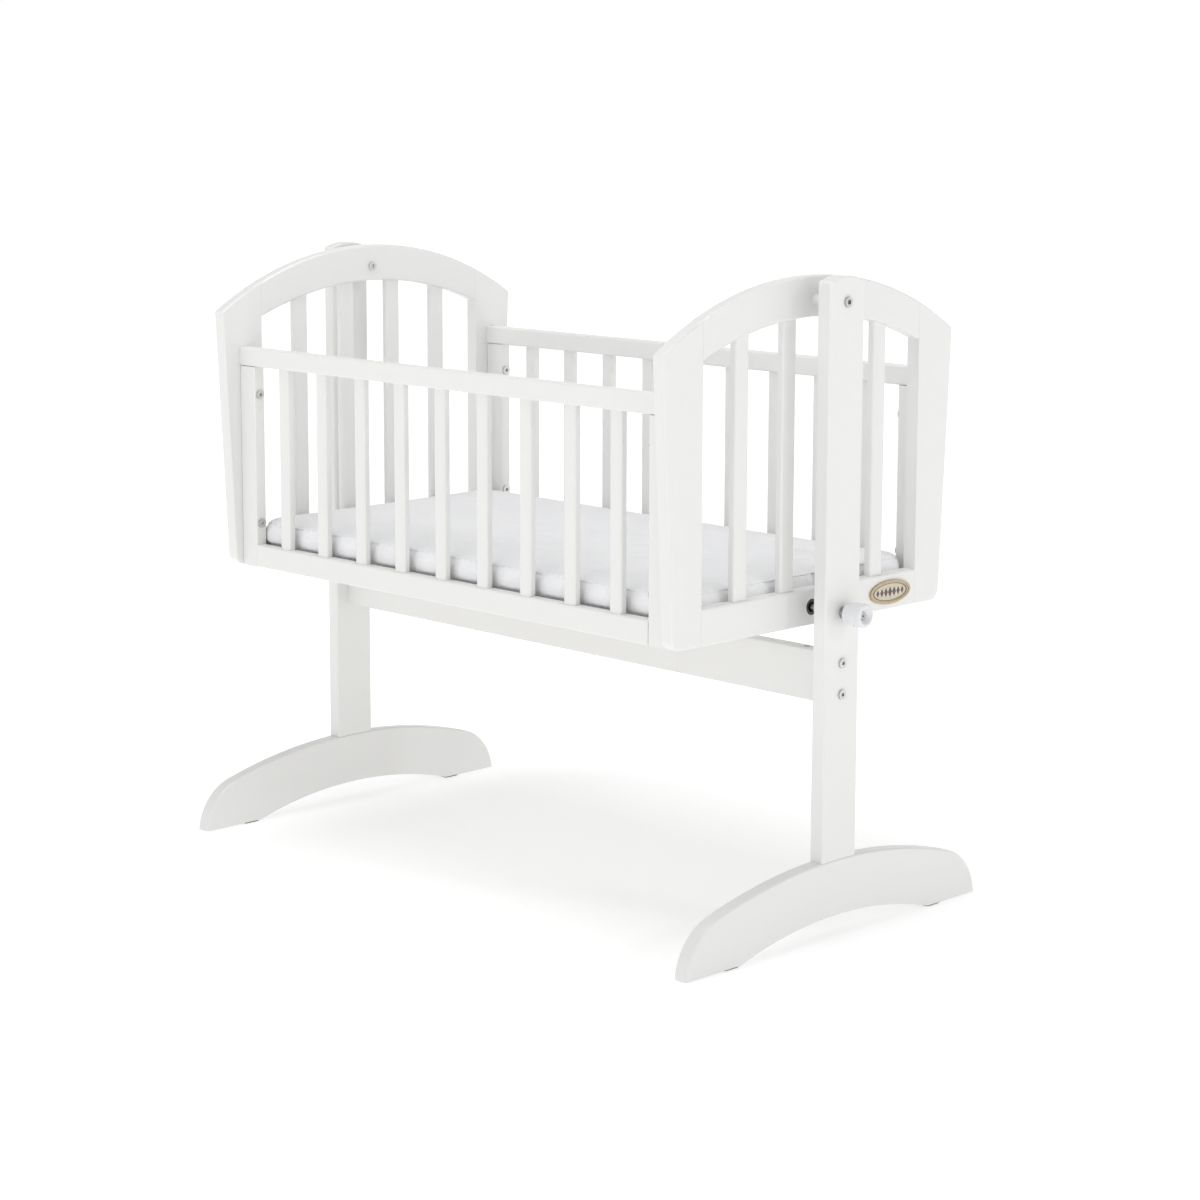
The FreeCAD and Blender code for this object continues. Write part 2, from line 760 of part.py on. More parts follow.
def make_side_rails(side, row):
    name = f"side_top_rail_{side}"
    body = bar(name + "_blank", "X", ("side_thick", "side_top_rail_tall"), f"2 * ({END_INNER} - joint_gap)")
    place(body, ("0", f"{row} * {SIDE_MID}", "side_top - side_top_rail_tall / 2"))
    tools = [side_cap_dowel_hole(name, sign, row) for sign in (-1, 1)]
    for number, x in enumerate(side_slat_rows()):
        tools.append(side_mortise(f"{name}_mortise_{number}", x, row, f"{SIDE_RAIL_UNDER} - 1",
                                  f"{SIDE_RAIL_UNDER} + tenon + fit_gap"))
    finish(cut(name, body, tools), name)

    name = f"side_bottom_rail_{side}"
    body = bar(name + "_blank", "X", ("side_thick", "side_low_rail_tall"),
               f"2 * ({SIDE_STILE_INNER} - joint_gap)")
    place(body, ("0", f"{row} * {SIDE_MID}", SIDE_LOW_RAIL_MID))
    tools = []
    for sign in (-1, 1):
        tools += side_foot_dowel_holes(name, sign, row)
    for number, x in enumerate(side_slat_rows()):
        tools.append(side_mortise(f"{name}_mortise_{number}", x, row,
                                  f"{SIDE_LOW_RAIL_TOP} - tenon - fit_gap", f"{SIDE_LOW_RAIL_TOP} + 1"))
    for number, x in enumerate(BATTEN_SCREWS):
        tools.append(
            cylinder(
                f"{name}_screw_hole_{number}", "batten_screw_radius + fit_gap", "batten_screw_long",
                (x, f"{row} * ({SIDE_INNER} - batten_screw_radius)", BATTEN_MID),
                "+Y" if row > 0 else "-Y",
            )
        )
    finish(cut(name, body, tools), name)


def make_side_slats(side, row):
    low, high = f"({SIDE_LOW_RAIL_TOP} - tenon)", f"({SIDE_RAIL_UNDER} + tenon)"
    slat = bar(f"side_slat_{side}", "Z", ("side_slat_wide", "slat_thick"), f"{high} - {low}")
    spots = [(x, f"{row} * {SIDE_MID}", f"({low} + {high}) / 2") for x in side_slat_rows()]
    group(f"side_slats_{side}", copies(f"side_slat_{side}_copy", slat, spots))


def make_side_hardware():
    upright = cylinder("side_cap_dowel", "dowel_radius", "side_dowel_length",
                       ("0", "0", "-side_dowel_length / 2"))
    level = cylinder("side_foot_dowel", "dowel_radius", "side_dowel_length",
                     ("-side_dowel_length / 2", "0", "0"), "+X")
    corners = [(sign, row) for sign in (-1, 1) for row in (-1, 1)]
    links = copies(
        "side_cap_dowel_copy", upright,
        [(f"{sign} * {SIDE_STILE_MID}", f"{row} * {SIDE_MID}", SIDE_RAIL_UNDER) for sign, row in corners],
    )
    links += copies(
        "side_foot_dowel_copy", level,
        [(f"{sign} * {SIDE_STILE_INNER}", f"{row} * {SIDE_MID}",
          f"{SIDE_LOW_RAIL_MID} + {step} * side_dowel_half_pitch")
         for sign, row in corners for step in (-1, 1)],
    )
    group("side_dowels", links)

    length = "side_stile_wide + insert_long - 2"
    bolts = {sign: socket_bolt(f"side_bolt_{sign + 1}", length, towards)
             for sign, towards in ((1, "+X"), (-1, "-X"))}
    links = []
    for sign, row in corners:
        for z in ("side_bolt_high", "side_bolt_low"):
            at = (f"{sign} * {SIDE_STILE_INNER}", f"{row} * {SIDE_MID}", z)
            links += copies(f"side_bolt_copy_{len(links)}", bolts[sign], [at])
    group("side_bolts", links)

    sleeve = cylinder("side_insert_sleeve", "insert_radius", "insert_long",
                      ("-insert_long / 2", "0", "0"), "+X")
    bore = cylinder("side_insert_bore", "bolt_radius + fit_gap", "insert_long + 2",
                    ("-insert_long / 2 - 1", "0", "0"), "+X")
    insert = cut("side_insert", sleeve, [bore])
    spots = [(f"{sign} * ({END_INNER} + insert_long / 2)", f"{row} * {SIDE_MID}", z)
             for sign, row in corners for z in ("side_bolt_high", "side_bolt_low")]
    group("side_inserts", copies("side_insert_copy", insert, spots))


# ---- base and mattress ------------------------------------------------------

BATTEN_SCREWS = ("-360", "-120", "120", "360")
BATTEN_TOP = "(base_top - base_thick)"
BATTEN_TALL = f"({BATTEN_TOP} - cradle_bottom)"
BATTEN_MID = f"({BATTEN_TOP} - {BATTEN_TALL} / 2)"
VENT_COLUMNS = 6
VENT_ROWS = 2


def make_base():
    for side, row in SIDES.items():
        name = f"base_batten_{side}"
        body = bar(name + "_blank", "X", ("batten_wide", BATTEN_TALL),
                   f"2 * {SIDE_STILE_INNER}", "batten_round")
        place(body, ("0", f"{row} * ({SIDE_INNER} - batten_wide / 2)", BATTEN_MID))
        drills = [
            cylinder(
                f"{name}_screw_hole_{number}", "batten_screw_radius + fit_gap", "batten_wide + 2",
                (x, f"{row} * {SIDE_INNER} - {'(batten_wide + 1)' if row > 0 else '1'}", BATTEN_MID), "+Y",
            )
            for number, x in enumerate(BATTEN_SCREWS)
        ]
        finish(cut(name, body, drills), name)

    links = []
    for row, towards in ((1, "+Y"), (-1, "-Y")):
        head = cylinder(f"batten_screw_head_{row + 1}", "2 * batten_screw_radius",
                        "batten_screw_head_tall", towards={"+Y": "-Y", "-Y": "+Y"}[towards])
        shank = cylinder(f"batten_screw_shank_{row + 1}", "batten_screw_radius",
                         "batten_wide + batten_screw_long - 4", towards=towards)
        screw = joined(f"batten_screw_{row + 1}", [head, shank])
        spots = [(x, f"{row} * ({SIDE_INNER} - batten_wide)", BATTEN_MID) for x in BATTEN_SCREWS]
        links += copies(f"batten_screw_copy_{row + 1}", screw, spots)
    group("batten_screws", links)

    long_side, wide = f"2 * ({END_INNER} - 1)", f"2 * ({SIDE_INNER} - 1)"
    low = (f"-{END_INNER} + 1", f"-{SIDE_INNER} + 1", BATTEN_TOP)
    board = block("base_board_blank", (long_side, wide, "base_thick"), low)
    vents = []
    for column in range(VENT_COLUMNS):
        for line in range(VENT_ROWS):
            x = f"{column - (VENT_COLUMNS - 1) / 2} * {END_INNER} / 3.5"
            y = f"{line - (VENT_ROWS - 1) / 2} * {SIDE_INNER}"
            vents.append(
                cylinder(f"vent_{column}_{line}", "vent_radius", "base_thick + 2",
                         (x, y, f"{BATTEN_TOP} - 1"))
            )
    finish(cut("base_board", board, vents), "base_board")


def make_mattress():
    half_long, half_wide = "mattress_long / 2", "mattress_wide / 2"
    corners = [
        (f"-{half_long}", f"-{half_wide}", None),
        (half_long, f"-{half_wide}", None),
        (half_long, half_wide, None),
        (f"-{half_long}", half_wide, None),
    ]
    body = plate("mattress", "XY_Plane", corners, "mattress_thick")
    round_edges(body, is_along("Z"), "mattress_corner")
    rim = value("mattress_thick") / 2 - 0.01
    round_edges(body, lambda e: abs(e.BoundBox.Center.z) > rim and e.BoundBox.ZLength < 0.01,
                "mattress_edge")
    place(body, ("0", "0", "base_top + fit_gap + mattress_thick / 2"))
    finish(body, "mattress")


# ---- pivots -----------------------------------------------------------------

def make_pivots():
    """A bolt through each post, its bush, a spacer and a sleeve nut in the arched rail."""
    bolts, nuts, spacers, bushes = [], [], [], []
    for end, sign in ENDS.items():
        inwards, outwards = ("-X", "+X") if sign > 0 else ("+X", "-X")
        face = f"{sign} * (post_outer + end_play)"
        head = cylinder(f"pivot_head_{end}", "bolt_head_radius", "bolt_head_tall",
                        (face, "0", "pivot_height"), outwards)
        length = f"post_outer + end_play - {END_INNER} - 4"
        shank = cylinder(f"pivot_shank_{end}", "pivot_radius", length,
                         (face, "0", "pivot_height"), inwards)
        socket = hexagon(
            f"pivot_socket_{end}", "socket_corner + 0.6", "bolt_head_tall + 3",
            (f"{sign} * (post_outer + end_play + bolt_head_tall)", "0", "pivot_height"), inwards)
        bolts.append(cut(f"pivot_bolt_{end}", joined(f"pivot_bolt_blank_{end}", [head, shank]), [socket]))

        inner = f"{sign} * {END_INNER}"
        cap = cylinder(f"pivot_nut_cap_{end}", "bolt_head_radius", "bolt_head_tall",
                       (inner, "0", "pivot_height"), inwards)
        barrel = cylinder(f"pivot_nut_barrel_{end}", "pivot_barrel_radius", "end_thick - 2",
                          (inner, "0", "pivot_height"), outwards)
        bore = cylinder(f"pivot_nut_bore_{end}", "pivot_radius + running_gap", "end_thick",
                        (f"{sign} * ({END_INNER} + 1)", "0", "pivot_height"), outwards)
        key = hexagon(
            f"pivot_nut_key_{end}", "socket_corner + 0.6", "bolt_head_tall",
            (f"{sign} * ({END_INNER} - bolt_head_tall - 0.5)", "0", "pivot_height"), outwards)
        nuts.append(cut(f"pivot_nut_{end}", joined(f"pivot_nut_blank_{end}", [cap, barrel]), [bore, key]))

        rings = (
            (spacers, "pivot_spacer", "pivot_spacer_radius", f"{sign} * end_outer",
             f"{POST_INNER} - end_outer - end_play"),
            (bushes, "pivot_bush", "pivot_bush_radius", f"{sign} * {POST_INNER}", "post_thick"),
        )
        for rows, name, radius, start, long in rings:
            ring = cylinder(f"{name}_ring_{end}", radius, long, (start, "0", "pivot_height"), outwards)
            hole = cylinder(f"{name}_hole_{end}", "pivot_radius + running_gap", f"{long} + 2",
                            (f"{start} - {sign}", "0", "pivot_height"), outwards)
            rows.append(cut(f"{name}_{end}", ring, [hole]))
    group("pivot_bolts", bolts)
    group("pivot_nuts", nuts)
    group("pivot_spacers", spacers)
    group("pivot_bushes", bushes)


# ---- the lock ---------------------------------------------------------------

def make_lock_bushes():
    sleeve = cylinder("lock_sleeve", "lock_sleeve_radius", "post_thick",
                      (POST_INNER, "0", "lock_height"), "+X")
    flange = cylinder("lock_flange", "lock_flange_radius", "lock_flange_thick",
                      ("post_outer", "0", "lock_height"), "+X")
    bore = cylinder("lock_sleeve_bore", "lock_pin_radius + running_gap",
                    "post_thick + lock_flange_thick + 2", (f"{POST_INNER} - 1", "0", "lock_height"), "+X")
    finish(cut("lock_bush_post", joined("lock_bush_blank", [sleeve, flange]), [bore]), "lock_bush_post")

    ring = cylinder("rail_bush_ring", "rail_bush_radius", "rail_bush_long",
                    ("end_outer - rail_bush_long", "0", "lock_height"), "+X")
    hole = cylinder("rail_bush_hole", "rail_bush_bore", "rail_bush_long",
                    ("end_outer - rail_bush_long + 1", "0", "lock_height"), "+X")
    finish(cut("lock_bush_rail", ring, [hole]), "lock_bush_rail")


def make_lock_pin():
    """A plain pin whose nose stops just short of the rail's bush; the knob sits on its tail."""
    tip = "(end_outer + lock_tip_gap)"
    tail = "(knob_front - knob_dish_deep - 4)"
    pin = cylinder("lock_pin_rod", "lock_pin_radius", f"{tail} - {tip}", (tip, "0", "lock_height"), "+X")
    tapped = cylinder("lock_pin_thread", "knob_screw_radius + fit_gap", "knob_screw_bite + 3",
                      (f"{tail} + 1", "0", "lock_height"), "-X")
    finish(cut("lock_pin", pin, [tapped]), "lock_pin")

    head = cylinder("knob_screw_head", "knob_screw_head_radius", "knob_screw_head_tall",
                    ("knob_front - knob_dish_deep", "0", "lock_height"), "+X")
    shank = cylinder("knob_screw_shank", "knob_screw_radius", "4 + knob_screw_bite",
                     ("knob_front - knob_dish_deep", "0", "lock_height"), "-X")
    socket = hexagon("knob_screw_socket", "socket_corner", "knob_screw_head_tall",
                     ("knob_front - knob_dish_deep + 1.2", "0", "lock_height"), "+X")
    finish(cut("knob_screw", joined("knob_screw_blank", [head, shank]), [socket]), "knob_screw")


def make_lock_knob():
    """Turned knob: a neck that swells to the grip, a soft front rim and a dished face."""
    body = doc.addObject("PartDesign::Body", "lock_knob")
    sketch = body.newObject("Sketcher::SketchObject", "lock_knob_profile")
    sketch.AttachmentSupport = [(plane_of(body, "XZ_Plane"), "")]
    sketch.MapMode = "FlatFace"
    bore = "(lock_pin_radius + fit_gap)"
    floor = "(knob_front - knob_dish_deep)"
    draw_outline(sketch, [
        ("knob_back", bore, None),
        (f"{floor} - 4 + fit_gap", bore, None),
        (f"{floor} - 4 + fit_gap", "knob_screw_radius + fit_gap", None),
        (floor, "knob_screw_radius + fit_gap", None),
        (floor, "knob_dish_radius", None),
        (f"{floor} + knob_screw_head_tall", "knob_dish_radius", None),
        ("knob_front", "knob_radius - 5", None),
        ("knob_front", "knob_radius - 3.5", "3.5"),
        ("knob_front - 3.5", "knob_radius", None),
        ("knob_back + 13", "knob_radius", "24"),
        ("knob_back + 5", "knob_neck_radius", None),
        ("knob_back + 1", "knob_neck_radius", "1"),
        ("knob_back", "knob_neck_radius - 1", None),
    ])
    turned = body.newObject("PartDesign::Revolution", "lock_knob_turned")
    turned.Profile = sketch
    turned.ReferenceAxis = (sketch, ["H_Axis"])
    turned.Angle = 360
    doc.recompute()
    place(body, ("0", "0", "lock_height"))
    finish(body, "lock_knob")


# ---- the badge --------------------------------------------------------------

def oval(name, half_long, half_tall, thick, start):
    """An upright elliptical disc on the right end's outer face."""
    body = doc.addObject("PartDesign::Body", name)
    sketch = body.newObject("Sketcher::SketchObject", name + "_outline")
    sketch.AttachmentSupport = [(plane_of(body, "YZ_Plane"), "")]
    sketch.MapMode = "FlatFace"
    long_half, tall_half = value(half_long), value(half_tall)
    ellipse = Part.Ellipse(V(long_half, 0, 0), V(0, tall_half, 0), V(0, 0, 0))
    edge = sketch.addGeometry(ellipse, False)
    sketch.exposeInternalGeometry(edge)
    sketch.addConstraint(Sketcher.Constraint("Coincident", edge, 3, -1, 1))
    for axis_line, kind, expression in (
        (edge + 1, "DistanceX", half_long), (edge + 2, "DistanceY", half_tall),
    ):
        first, last = sketch.getPoint(axis_line, 1), sketch.getPoint(axis_line, 2)
        span = (last - first).x if kind == "DistanceX" else (last - first).y
        ends = (1, 2) if span > 0 else (2, 1)
        number = sketch.addConstraint(
            Sketcher.Constraint(kind, axis_line, ends[0], axis_line, ends[1], abs(span))
        )
        bind(sketch, f"Constraints[{number}]", f"2 * ({expression})")
    pad = body.newObject("PartDesign::Pad", name + "_pad")
    pad.Profile = sketch
    bind(pad, "Length", thick)
    doc.recompute()
    return place(body, (start, "badge_offset", "lock_height"))


def make_badge():
    """A generic blank badge: a raised oval rim round a plain plate."""
    inside_long, inside_tall = "badge_half_long - badge_rim_wide", "badge_half_tall - badge_rim_wide"
    rim = oval("badge_rim_blank", "badge_half_long", "badge_half_tall", "badge_thick", "end_outer")
    hollow = oval("badge_rim_hollow", inside_long, inside_tall, "badge_thick + 2", "end_outer - 1")
    finish(cut("badge_rim", rim, [hollow]), "badge_rim")
    plate_body = oval("badge_plate", f"{inside_long} - fit_gap", f"{inside_tall} - fit_gap",
                      "badge_thick * 0.6", "end_outer")
    finish(plate_body, "badge_plate")


# ---- build, check, write ----------------------------------------------------

def build():
    fill_sheet()
    for end, sign in ENDS.items():
        make_foot(end, sign)
        make_post(end, sign)
    make_stretcher()
    make_stretcher_hardware()
    make_foot_hardware()
    for end, sign in ENDS.items():
        for side, row in SIDES.items():
            make_end_stile(end, sign, side, row)
        make_end_arch(end, sign)
        make_end_rail(end, sign)
        make_end_slats(end, sign)
    make_end_dowels()
    for side, row in SIDES.items():
        for end, sign in ENDS.items():
            make_side_stile(side, row, end, sign)
        make_side_rails(side, row)
        make_side_slats(side, row)
    make_side_hardware()
    make_base()
    make_mattress()
    make_pivots()
    make_lock_bushes()
    make_lock_pin()
    make_lock_knob()
    make_badge()
    doc.recompute()


def check():
    """Stop if anything failed to build."""
    for item in doc.Objects:
        bad = [state for state in item.State if state in ("Invalid", "Error")]
        if bad:
            raise RuntimeError(f"{item.Name} is {bad}")
    for node in nodes:
        if node.Shape.isNull() or not node.Shape.isValid() or not node.Shape.Solids:
            raise RuntimeError(f"{node.Label} has no valid solid")


def write():
    os.makedirs("parts", exist_ok=True)
    for node in nodes:
        node.Shape.exportStep(f"parts/{node.Label}.step")
        box = node.Shape.BoundBox
        print(
            f"{node.Label:26s} solids {len(node.Shape.Solids):2d} volume {node.Shape.Volume / 1000:9.2f} cm3 "
            f"x {box.XMin:8.2f} {box.XMax:8.2f} y {box.YMin:8.2f} {box.YMax:8.2f} "
            f"z {box.ZMin:7.2f} {box.ZMax:7.2f}"
        )


build()
check()
write()
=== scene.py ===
import math

import bmesh
import bpy
import numpy as np
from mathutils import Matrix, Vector, noise
from mathutils.bvhtree import BVHTree


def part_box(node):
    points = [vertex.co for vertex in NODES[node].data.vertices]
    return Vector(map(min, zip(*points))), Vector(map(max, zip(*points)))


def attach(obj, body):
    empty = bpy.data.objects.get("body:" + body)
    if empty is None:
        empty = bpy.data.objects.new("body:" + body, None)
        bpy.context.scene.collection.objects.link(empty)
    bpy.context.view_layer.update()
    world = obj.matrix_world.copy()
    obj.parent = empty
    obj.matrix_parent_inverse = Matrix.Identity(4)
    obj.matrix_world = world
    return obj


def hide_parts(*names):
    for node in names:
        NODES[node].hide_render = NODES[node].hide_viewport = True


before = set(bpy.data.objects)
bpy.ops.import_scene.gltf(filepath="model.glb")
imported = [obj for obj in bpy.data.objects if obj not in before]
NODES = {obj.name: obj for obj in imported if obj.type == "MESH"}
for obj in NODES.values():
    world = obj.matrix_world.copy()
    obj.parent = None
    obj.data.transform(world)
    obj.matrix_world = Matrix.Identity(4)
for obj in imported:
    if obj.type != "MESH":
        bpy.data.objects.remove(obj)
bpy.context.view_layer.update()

MM = 0.001


# ---- node trees ---------------------------------------------------------------

class Look:
    """A material's node tree, with short calls for the few kinds of node used here."""

    def __init__(self, name, color, roughness, **surface):
        self.material = bpy.data.materials.new(name)
        self.material.use_nodes = True
        self.nodes = self.material.node_tree.nodes
        self.links = self.material.node_tree.links
        self.shader = self.nodes["Principled BSDF"]
        self.shader.inputs["Base Color"].default_value = (*color, 1)
        self.shader.inputs["Roughness"].default_value = roughness
        for socket, amount in surface.items():
            self.shader.inputs[socket.replace("_", " ")].default_value = amount
        self.place = self.nodes.new("ShaderNodeTexCoord").outputs["Object"]

    def link(self, source, target):
        self.links.new(source, target)

    def stretched(self, scale):
        """Object coordinates scaled by a different amount along each axis."""
        mapping = self.nodes.new("ShaderNodeMapping")
        mapping.inputs["Scale"].default_value = scale
        self.link(self.place, mapping.inputs["Vector"])
        return mapping.outputs["Vector"]

    def noise(self, scale, detail=3, rough=0.5, vector=None, distortion=0.0):
        node = self.nodes.new("ShaderNodeTexNoise")
        node.inputs["Scale"].default_value = scale
        node.inputs["Detail"].default_value = detail
        node.inputs["Roughness"].default_value = rough
        node.inputs["Distortion"].default_value = distortion
        self.link(vector or self.place, node.inputs["Vector"])
        return node.outputs["Fac"]

    def wave(self, axis, scale, vector=None):
        node = self.nodes.new("ShaderNodeTexWave")
        node.bands_direction = axis
        node.inputs["Scale"].default_value = scale
        self.link(vector or self.place, node.inputs["Vector"])
        return node.outputs["Fac"]

    def math(self, operation, first, second):
        node = self.nodes.new("ShaderNodeMath")
        node.operation = operation
        for socket, value in zip(node.inputs, (first, second)):
            if isinstance(value, (int, float)):
                socket.default_value = value
            else:
                self.link(value, socket)
        return node.outputs[0]

    def fit(self, value, low, high, to_low, to_high):
        """value from low..high onto to_low..to_high, clamped."""
        node = self.nodes.new("ShaderNodeMapRange")
        for socket, amount in zip(list(node.inputs)[1:5], (low, high, to_low, to_high)):
            socket.default_value = amount
        self.link(value, node.inputs[0])
        return node.outputs[0]

    def mix(self, factor, first, second):
        node = self.nodes.new("ShaderNodeMix")
        node.data_type = "RGBA"
        self.link(factor, node.inputs[0])
        for socket, value in zip((node.inputs[6], node.inputs[7]), (first, second)):
            if isinstance(value, tuple):
                socket.default_value = (*value, 1)
            else:
                self.link(value, socket)
        return node.outputs[2]

    def color(self, value):
        self.link(value, self.shader.inputs["Base Color"])

    def roughness(self, value):
        self.link(value, self.shader.inputs["Roughness"])

    def bump(self, height, depth, strength=1.0):
        """Adds a bump of that depth in metres on top of any bump there already is."""
        node = self.nodes.new("ShaderNodeBump")
        node.inputs["Strength"].default_value = strength
        node.inputs["Distance"].default_value = depth
        self.link(height, node.inputs["Height"])
        target = self.shader.inputs["Normal"]
        if target.is_linked:
            self.link(target.links[0].from_socket, node.inputs["Normal"])
        self.link(node.outputs["Normal"], target)


# ---- materials ----------------------------------------------------------------

PAINT = (0.785, 0.785, 0.773)
PAINT_THIN = (0.75, 0.749, 0.734)
LONG_GRAIN = 4.0
CROSS_GRAIN = 170.0


def painted_wood(name, along):
    """White satin paint over close-grained wood; along is the member's length axis."""
    look = Look(name, PAINT, 0.34, Coat_Weight=0.22, Coat_Roughness=0.22, Specular_IOR_Level=0.5)
    scale = [CROSS_GRAIN] * 3
    scale["XYZ".index(along)] = LONG_GRAIN
    grain = look.noise(1.0, 3, 0.55, look.stretched(scale), 0.1)
    cloud = look.noise(7.0, 3, 0.5)
    mottle = look.noise(60.0, 3, 0.6)
    shade = look.math("ADD", look.math("MULTIPLY", grain, 0.45), look.math("MULTIPLY", cloud, 0.55))
    look.color(look.mix(look.fit(shade, 0.35, 0.68, 0.0, 0.30), PAINT, PAINT_THIN))
    look.roughness(look.fit(look.math("ADD", mottle, grain), 0.7, 1.3, 0.28, 0.42))
    look.bump(grain, 0.00004)
    look.bump(look.noise(700.0, 2, 0.5), 0.00002)
    return look.material


def bare_wood(name, along, light, dark):
    look = Look(name, light, 0.6)
    scale = [CROSS_GRAIN] * 3
    scale["XYZ".index(along)] = LONG_GRAIN
    grain = look.noise(1.0, 5, 0.65, look.stretched(scale), 0.6)
    look.color(look.mix(look.fit(grain, 0.35, 0.68, 0.0, 1.0), light, dark))
    look.roughness(look.fit(grain, 0.3, 0.7, 0.52, 0.7))
    look.bump(grain, 0.0002)
    return look.material


def faced_board(name):
    """White-faced fibreboard: a thin pressed skin with a fine leathery emboss."""
    look = Look(name, PAINT, 0.5)
    fibre = look.noise(1.0, 4, 0.7, look.stretched((180, 420, 420)), 1.2)
    emboss = look.noise(520.0, 2, 0.6)
    look.color(look.mix(look.fit(fibre, 0.35, 0.7, 0.0, 0.6), PAINT, PAINT_THIN))
    look.roughness(look.fit(emboss, 0.3, 0.7, 0.44, 0.6))
    look.bump(emboss, 0.00008)
    return look.material


def metal(name, color, roughness, scratch=(40, 900, 900), spread=0.09):
    """Plated metal with faint directional polishing marks."""
    look = Look(name, color, roughness, Metallic=1.0)
    marks = look.noise(1.0, 3, 0.6, look.stretched(scratch))
    cloud = look.noise(220.0, 3, 0.5)
    dark = tuple(channel * 0.86 for channel in color)
    look.color(look.mix(look.fit(cloud, 0.3, 0.7, 0.0, 1.0), color, dark))
    look.roughness(look.fit(marks, 0.25, 0.75, roughness - spread, roughness + spread))
    look.bump(marks, 0.00002)
    return look.material


def moulded(name, color, roughness, depth=0.00004, fleck=0.94, **surface):
    """Moulded plastic with a fine even texture."""
    look = Look(name, color, roughness, **surface)
    cloud = look.noise(90.0, 2, 0.5)
    pebble = look.noise(1400.0, 2, 0.5)
    look.color(look.mix(look.fit(cloud, 0.3, 0.7, 0.0, 1.0), color, tuple(c * fleck for c in color)))
    look.roughness(look.fit(cloud, 0.3, 0.7, roughness - 0.05, roughness + 0.05))
    look.bump(pebble, depth)
    return look.material


def ticking(name):
    """Close white cotton: a plain weave, with a soft uneven nap."""
    look = Look(name, (0.86, 0.862, 0.875), 0.86, Sheen_Weight=0.35, Sheen_Roughness=0.5,
                Specular_IOR_Level=0.25)
    threads = look.math("ADD", look.wave("X", 250.0), look.wave("Y", 262.0))
    threads = look.math("ADD", threads, look.wave("Z", 256.0))
    nap = look.noise(35.0, 4, 0.6)
    slub = look.noise(1.0, 3, 0.6, look.stretched((30, 420, 420)))
    look.color(look.mix(look.fit(look.math("ADD", nap, slub), 0.75, 1.25, 0.0, 1.0),
                        (0.875, 0.877, 0.89), (0.83, 0.833, 0.848)))
    look.roughness(look.fit(slub, 0.3, 0.7, 0.8, 0.92))
    look.bump(threads, 0.00018, 0.7)
    look.bump(nap, 0.0006, 0.6)
    return look.material


def badge_enamel(name, middle, half_long, half_tall):
    """Beige enamel with an inlaid oval line and a row of diamonds, drawn about the badge's middle."""
    look = Look(name, (0.60, 0.54, 0.43), 0.34, Coat_Weight=0.4, Coat_Roughness=0.15)
    split = look.nodes.new("ShaderNodeSeparateXYZ")
    look.link(look.place, split.inputs[0])
    across = look.math("SUBTRACT", split.outputs["Y"], middle.y)
    up = look.math("SUBTRACT", split.outputs["Z"], middle.z)

    def oval_distance(y, z, long_half, tall_half):
        squares = [
            look.math("POWER", look.math("DIVIDE", look.math("ABSOLUTE", value, 0.0), half), 2.0)
            for value, half in ((y, long_half), (z, tall_half))
        ]
        return look.math("SQRT", look.math("ADD", *squares), 0.0)

    def ink_where(distance, edge, soft):
        return look.fit(distance, edge, edge + soft, 1.0, 0.0)

    rim = look.math("SUBTRACT", oval_distance(across, up, half_long, half_tall), 0.90)
    ink = ink_where(look.math("ABSOLUTE", rim, 0.0), 0.02, 0.03)
    for step in range(-3, 4):
        size = (5.2 - 0.5 * abs(step)) * MM
        from_middle = look.math("ABSOLUTE", look.math("SUBTRACT", across, step * 8.6 * MM), 0.0)
        diamond = look.math("ADD", from_middle, look.math("MULTIPLY", look.math("ABSOLUTE", up, 0.0), 0.62))
        ink = look.math("MAXIMUM", ink, ink_where(diamond, size * 0.82, 0.5 * MM))
    speck = look.noise(900.0, 2, 0.5)
    ground = look.mix(look.fit(speck, 0.3, 0.7, 0.0, 1.0), (0.62, 0.56, 0.45), (0.53, 0.47, 0.36))
    look.color(look.mix(ink, ground, (0.085, 0.055, 0.045)))
    look.bump(ink, 0.00015, 0.6)
    return look.material


WOOD = {axis: painted_wood(f"painted_wood_{axis.lower()}", axis) for axis in "XYZ"}
BEECH = {axis: bare_wood(f"beech_{axis.lower()}", axis, (0.72, 0.53, 0.34), (0.55, 0.37, 0.21))
         for axis in "XYZ"}
BOARD = faced_board("faced_board")
NICKEL = metal("nickel_plate", (0.62, 0.62, 0.61), 0.27)
BRASS = metal("badge_brass", (0.50, 0.40, 0.25), 0.34, (500, 60, 500))
DARK_PLASTIC = moulded("dark_plastic", (0.05, 0.042, 0.038), 0.45)
WHITE_PLASTIC = moulded("white_plastic", (0.78, 0.78, 0.775), 0.42, fleck=0.97)
KNOB = moulded("knob_plastic", (0.74, 0.745, 0.76), 0.3, 0.00002, 0.98,
               Coat_Weight=0.3, Coat_Roughness=0.15)
TICKING = ticking("mattress_ticking")


def grain_axis(node):
    """The axis along which a member is longest."""
    low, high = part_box(node)
    return "XYZ"[max(range(3), key=lambda axis: high[axis] - low[axis])]


def dress(material, *nodes):
    """Give every face of some CAD nodes one material."""
    for node in nodes:
        mesh = NODES[node].data
        mesh.materials.clear()
        mesh.materials.append(material)


